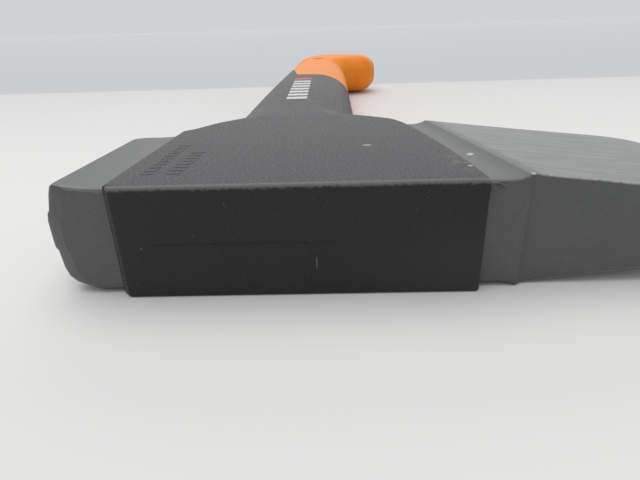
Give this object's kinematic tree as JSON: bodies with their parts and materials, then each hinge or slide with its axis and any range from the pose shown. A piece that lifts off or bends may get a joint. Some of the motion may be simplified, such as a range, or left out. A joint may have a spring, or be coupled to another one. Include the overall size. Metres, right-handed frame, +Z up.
{
  "type": "splitting axe",
  "caption": "Compact one-hand splitting axe: forged wedge head with a flat poll, moulded hollow handle and a hooked end knob.",
  "frame": {"origin": "centre of the footprint, on the surface that the axe lies on with one cheek down", "axes": "+X towards the cutting edge, +Y down the handle to the knob, +Z up through the head's thickness"},
  "size_m": [0.196, 0.355, 0.03],
  "materials": {
    "coated_steel": "satin grey-green coating",
    "black_nylon": "fine moulded grain",
    "orange_plastic": "semi-gloss"
  },
  "bodies": {
    "root": {"axe_head": "coated_steel", "handle_shell": "black_nylon", "end_knob": "orange_plastic"}
  },
  "joints": []
}
